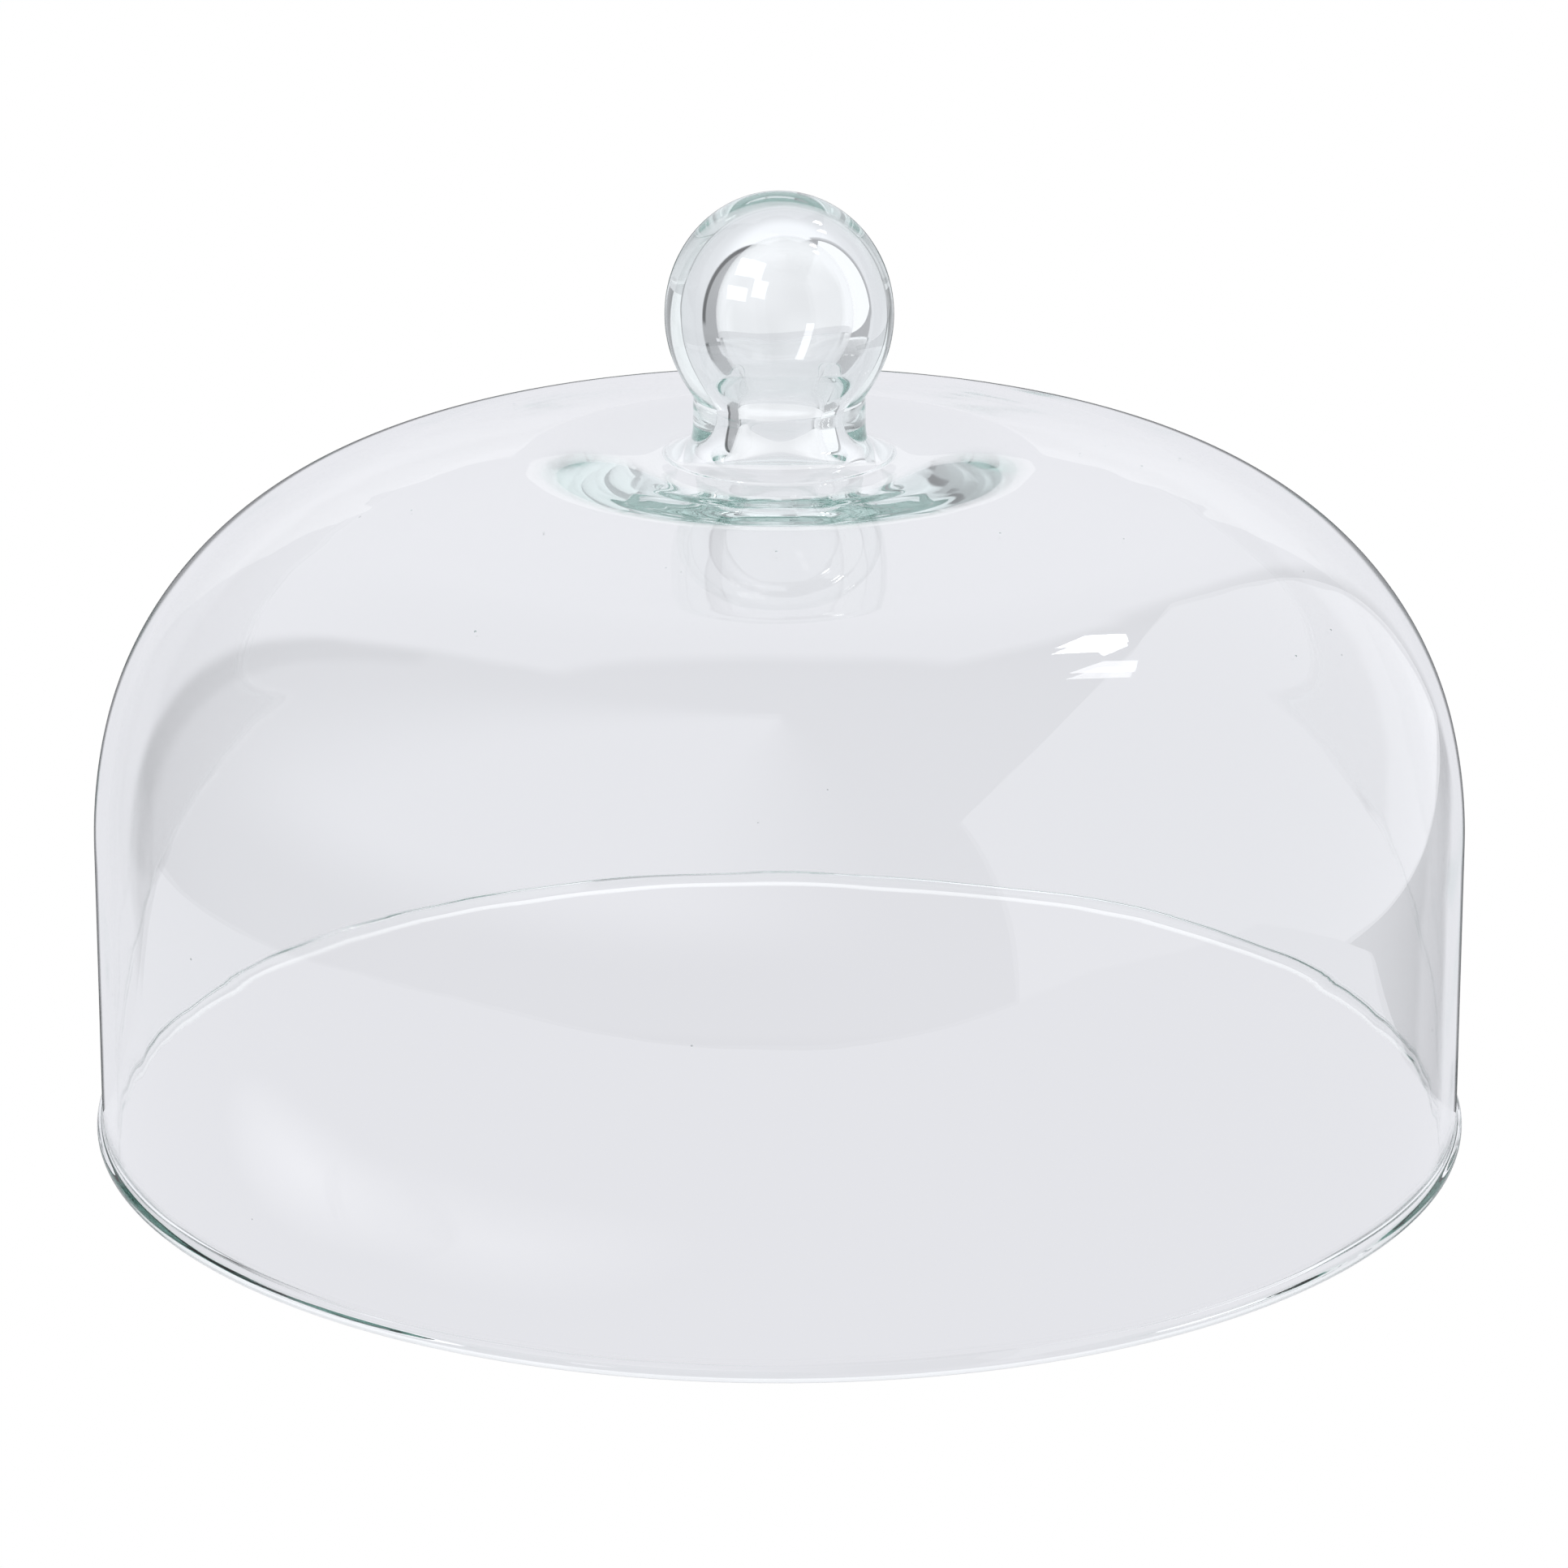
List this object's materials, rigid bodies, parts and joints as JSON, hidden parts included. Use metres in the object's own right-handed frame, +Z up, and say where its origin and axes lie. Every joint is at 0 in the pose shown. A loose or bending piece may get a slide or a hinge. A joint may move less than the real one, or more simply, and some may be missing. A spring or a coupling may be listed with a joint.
{
  "type": "glass cake dome",
  "caption": "Clear glass cake dome: a broad bell with a beaded rim and a hollow pear-shaped knob fused onto its crown, open underneath.",
  "frame": {"origin": "centre of the circle that the rim rests on", "axes": "+Z up along the axis of revolution, from the rim to the knob; +X and +Y are any two directions across, because the part is round"},
  "size_m": [0.3, 0.3, 0.2088],
  "materials": {
    "bell_glass": "clear polished soda-lime glass",
    "knob_glass": "clear polished soda-lime glass, faintly green where it is thick"
  },
  "bodies": {
    "root": {"bell": "bell_glass", "knob": "knob_glass"}
  },
  "joints": []
}
